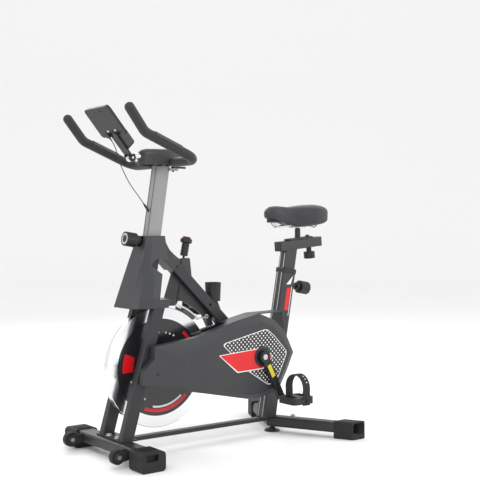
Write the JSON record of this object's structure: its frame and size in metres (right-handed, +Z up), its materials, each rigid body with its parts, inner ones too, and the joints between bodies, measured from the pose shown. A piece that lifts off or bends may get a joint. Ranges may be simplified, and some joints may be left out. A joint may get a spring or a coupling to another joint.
{
  "type": "exercise bike",
  "caption": "Upright indoor cycling bike with a front flywheel, covered belt drive, strapped pedals, padded saddle, forward handlebar and a phone holder over a small console.",
  "frame": {"origin": "on the floor, at the middle of the bike's length and width", "axes": "+Z up, the rider faces -X, and the belt guard is on the -Y side"},
  "size_m": [1.043, 0.626, 1.1857],
  "materials": {
    "frame_paint": "matte charcoal powder coat",
    "post_paint": "satin silver paint with dark edge lines",
    "cover_plastic": "textured moulded plastic",
    "black_plastic": "fine textured moulded plastic",
    "black_rubber": "moulded rubber",
    "grip_foam": "dipped soft rubber, slightly grained",
    "chrome_ring": "polished and chromed rim",
    "disc_plastic": "gloss moulded disc",
    "machined_steel": "turned steel",
    "zinc_steel": "bright zinc plating",
    "crank_steel": "forged steel, satin black",
    "belt_rubber": "ribbed belt rubber",
    "cage_plastic": "moulded plastic",
    "sensor_plate": "brushed stainless plate",
    "red_plastic": "gloss red",
    "brake_felt": "pressed wool felt",
    "lead_jacket": "thin flexible jacket",
    "saddle_vinyl": "matte grained vinyl over foam"
  },
  "bodies": {
    "frame": {"front_stabilizer": "frame_paint", "front_feet": "black_rubber", "fork_legs": "frame_paint", "head_tube": "frame_paint", "main_beam": "frame_paint", "bottom_bracket": "frame_paint", "stays": "frame_paint", "shaft_bearings": "machined_steel", "seat_tube": "frame_paint", "seat_collar": "black_plastic", "rear_stabilizer": "frame_paint", "rear_feet": "black_rubber", "base_beam": "frame_paint", "wheel_bolts": "zinc_steel", "belt_guard": "cover_plastic", "guard_back": "cover_plastic", "head_cover": "cover_plastic", "rod_bracket": "cover_plastic", "bottle_cage": "cage_plastic", "drive_belt": "belt_rubber"},
    "leveller": {"levelling_foot": "black_plastic"},
    "wheel_near": {"transport_wheel_near": "black_rubber"},
    "wheel_far": {"transport_wheel_far": "black_rubber"},
    "flywheel_set": {"flywheel": "chrome_ring", "flywheel_covers": "disc_plastic", "flywheel_axle": "machined_steel", "flywheel_pulley": "machined_steel"},
    "crankset": {"crank_axle": "machined_steel", "crank_pulley": "machined_steel", "crank_arm_near": "crank_steel", "crank_arm_far": "crank_steel"},
    "pedal_near_set": {"pedal_near": "black_plastic", "pedal_strap_near": "black_rubber"},
    "pedal_far_set": {"pedal_far": "black_plastic", "pedal_strap_far": "black_rubber"},
    "push_sleeve": {"tension_sleeve": "black_plastic"},
    "tension_knob": {"resistance_knob": "black_plastic"},
    "brake": {"brake_arm": "machined_steel", "brake_pad": "brake_felt"},
    "height_clamp": {"height_knob": "black_plastic"},
    "seat_clamp": {"seat_height_knob": "black_plastic"},
    "bar_post": {"handlebar_post": "post_paint", "stem_cover": "cover_plastic", "console_boom": "chrome_ring", "lead_plug": "black_plastic", "sensor_lead": "lead_jacket"},
    "bars": {"handlebar": "frame_paint", "handlebar_grips": "grip_foam", "pulse_sensors": "sensor_plate"},
    "bar_lever": {"clamp_lever": "black_plastic"},
    "holder": {"phone_holder": "black_plastic", "console_case": "cover_plastic"},
    "button": {"console_button": "red_plastic"},
    "seat_mast": {"seat_post": "frame_paint"},
    "carrier": {"saddle_carrier": "frame_paint"},
    "slider_clamp": {"slider_knob": "black_plastic"},
    "saddle": {"saddle_clamp": "machined_steel", "saddle_rails": "zinc_steel", "saddle_base": "black_plastic", "saddle_cushion": "saddle_vinyl"}
  },
  "joints": [
    {"name": "leveller_slide", "type": "slide", "parent": "frame", "child": "leveller", "axis": [0, 0, 1], "range_m": [0, 0.006]},
    {"name": "wheel_near_spin", "type": "hinge", "parent": "frame", "child": "wheel_near", "pos_m": [-0.4965, -0.162, 0.043], "axis": [0, 1, 0], "continuous": true},
    {"name": "wheel_far_spin", "type": "hinge", "parent": "frame", "child": "wheel_far", "pos_m": [-0.4965, 0.162, 0.043], "axis": [0, 1, 0], "continuous": true},
    {"name": "flywheel_spin", "type": "hinge", "parent": "frame", "child": "flywheel_set", "pos_m": [-0.2385, 0, 0.292], "axis": [0, 1, 0], "continuous": true},
    {"name": "crank_spin", "type": "hinge", "parent": "frame", "child": "crankset", "pos_m": [0.1305, 0, 0.311], "axis": [0, 1, 0], "continuous": true},
    {"name": "pedal_near_spin", "type": "hinge", "parent": "crankset", "child": "pedal_near_set", "pos_m": [0.20847, -0.223, 0.15993], "axis": [0, 1, 0], "continuous": true},
    {"name": "pedal_far_spin", "type": "hinge", "parent": "crankset", "child": "pedal_far_set", "pos_m": [0.05253, 0.223, 0.46207], "axis": [0, 1, 0], "continuous": true},
    {"name": "knob_push", "type": "slide", "parent": "frame", "child": "push_sleeve", "axis": [-0.1908, 0, -0.9816], "range_m": [0, 0.004], "stiffness_N_per_m": 2500},
    {"name": "knob_turn", "type": "hinge", "parent": "push_sleeve", "child": "tension_knob", "pos_m": [-0.1305, 0, 0.672], "axis": [0.1908, 0, 0.9816], "range_deg": [0, 720]},
    {"name": "brake_pivot", "type": "hinge", "parent": "frame", "child": "brake", "pos_m": [-0.0345, 0, 0.458], "axis": [0, -1, 0], "range_deg": [0, 1.7]},
    {"name": "height_knob_turn", "type": "hinge", "parent": "frame", "child": "height_clamp", "pos_m": [-0.26683, 0, 0.727], "axis": [-0.9885, 0, 0.1513], "range_deg": [-720, 0]},
    {"name": "seat_knob_turn", "type": "hinge", "parent": "frame", "child": "seat_clamp", "pos_m": [0.33884, 0, 0.562], "axis": [0.9847, 0, -0.174], "range_deg": [-720, 0]},
    {"name": "post_slide", "type": "slide", "parent": "frame", "child": "bar_post", "axis": [0.1513, 0, 0.9885], "range_m": [-0.06, 0.06]},
    {"name": "handlebar_tilt", "type": "hinge", "parent": "bar_post", "child": "bars", "pos_m": [-0.2145, 0, 1.007], "axis": [0, 1, 0], "range_deg": [-10, 10]},
    {"name": "lever_turn", "type": "hinge", "parent": "bar_post", "child": "bar_lever", "pos_m": [-0.1845, -0.016, 0.985], "axis": [0, 0, -1], "range_deg": [0, 90]},
    {"name": "holder_tilt", "type": "hinge", "parent": "bar_post", "child": "holder", "pos_m": [-0.3485, 0, 1.02], "axis": [0, 1, 0], "range_deg": [0, 20]},
    {"name": "button_push", "type": "slide", "parent": "holder", "child": "button", "axis": [-0.7638, 0, -0.6455], "range_m": [0, 0.003], "stiffness_N_per_m": 600},
    {"name": "seat_post_slide", "type": "slide", "parent": "frame", "child": "seat_mast", "axis": [0.174, 0, 0.9847], "range_m": [-0.05, 0.1]},
    {"name": "saddle_slide", "type": "slide", "parent": "seat_mast", "child": "carrier", "axis": [0.9952, 0, 0.0976], "range_m": [-0.03, 0.03]},
    {"name": "slider_knob_turn", "type": "hinge", "parent": "carrier", "child": "slider_clamp", "pos_m": [0.46276, 0, 0.72213], "axis": [0.0976, 0, -0.9952], "range_deg": [-720, 0]},
    {"name": "saddle_tilt", "type": "hinge", "parent": "carrier", "child": "saddle", "pos_m": [0.40669, 0, 0.788], "axis": [0, 1, 0], "range_deg": [-8, 8]}
  ],
  "couplings": [
    {"joint": "crank_spin", "follows": "flywheel_spin", "ratio": 0.25},
    {"joint": "brake_pivot", "follows": "knob_push", "rad_per_m": 7.2}
  ]
}
